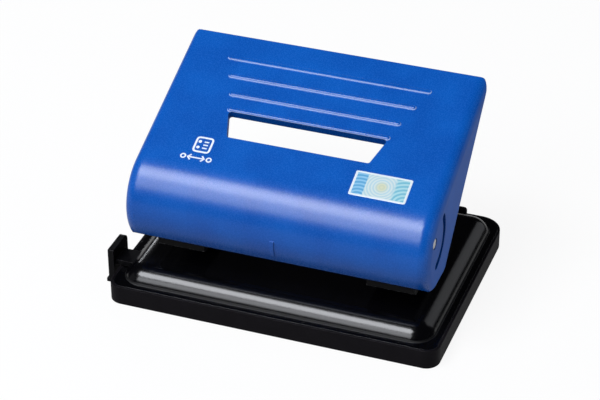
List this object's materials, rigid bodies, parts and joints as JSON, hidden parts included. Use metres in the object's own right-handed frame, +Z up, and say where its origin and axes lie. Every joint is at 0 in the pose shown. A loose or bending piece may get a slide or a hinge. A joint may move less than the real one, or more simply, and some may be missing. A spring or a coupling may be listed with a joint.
{
  "type": "two-hole desk punch",
  "caption": "Desk punch for filing holes: lever cover with a see-through window, pressed base, chip tray and sliding paper guide.",
  "frame": {"origin": "middle of the chip tray's underside, on the table", "axes": "+X along the punch to the right, +Y from the user to the back, +Z up"},
  "size_m": [0.1297, 0.09, 0.0744],
  "materials": {
    "blue_plastic": "satin moulded blue plastic",
    "black_enamel": "glossy black enamel on pressed steel",
    "tray_plastic": "matte black moulded plastic",
    "guide_plastic": "satin black moulded plastic",
    "frame_paint": "black painted folded steel",
    "bright_steel": "bright nickel-plated steel",
    "plated_steel": "zinc-plated sheet steel",
    "spring_steel": "plain spring steel",
    "tool_steel": "ground hardened steel"
  },
  "bodies": {
    "tray": {"chip_tray": "tray_plastic"},
    "base": {"base_plate": "black_enamel", "die_plate_left": "plated_steel", "die_plate_right": "plated_steel", "punch_frame_left": "frame_paint", "punch_frame_right": "frame_paint", "frame_rivets": "bright_steel", "hinge_pin": "bright_steel", "hinge_clips": "spring_steel", "guide_channel": "plated_steel", "guide_detent_spring": "spring_steel", "return_spring_left": "spring_steel", "return_spring_right": "spring_steel"},
    "lever": {"handle_cover": "blue_plastic", "press_lever_left": "plated_steel", "press_lever_right": "plated_steel", "lever_screws": "bright_steel"},
    "left_punch": {"punch_left": "tool_steel", "cross_pin_left": "bright_steel", "punch_clips_left": "spring_steel", "spring_seat_left": "plated_steel"},
    "right_punch": {"punch_right": "tool_steel", "cross_pin_right": "bright_steel", "punch_clips_right": "spring_steel", "spring_seat_right": "plated_steel"},
    "guide": {"paper_guide": "guide_plastic"}
  },
  "joints": [
    {"name": "tray_lift", "type": "slide", "parent": "tray", "child": "base", "axis": [0, 0, 1], "range_m": [0, 0.03]},
    {"name": "press_lever_hinge", "type": "hinge", "parent": "base", "child": "lever", "pos_m": [0, -0.0294, 0.042], "axis": [-1, 0, 0], "range_deg": [0, 21], "stiffness_Nm_per_rad": 0.8, "springref_deg": -20.05},
    {"name": "left_punch_slide", "type": "slide", "parent": "base", "child": "left_punch", "axis": [0, 0, -1], "range_m": [0, 0.0063], "deforming": ["return_spring_left"]},
    {"name": "right_punch_slide", "type": "slide", "parent": "base", "child": "right_punch", "axis": [0, 0, -1], "range_m": [0, 0.0063], "deforming": ["return_spring_right"]},
    {"name": "paper_guide_slide", "type": "slide", "parent": "base", "child": "guide", "axis": [-1, 0, 0], "range_m": [0, 0.0844]}
  ],
  "couplings": [
    {"joint": "left_punch_slide", "follows": "press_lever_hinge", "m_per_rad": 0.017193},
    {"joint": "right_punch_slide", "follows": "press_lever_hinge", "m_per_rad": 0.017193}
  ]
}
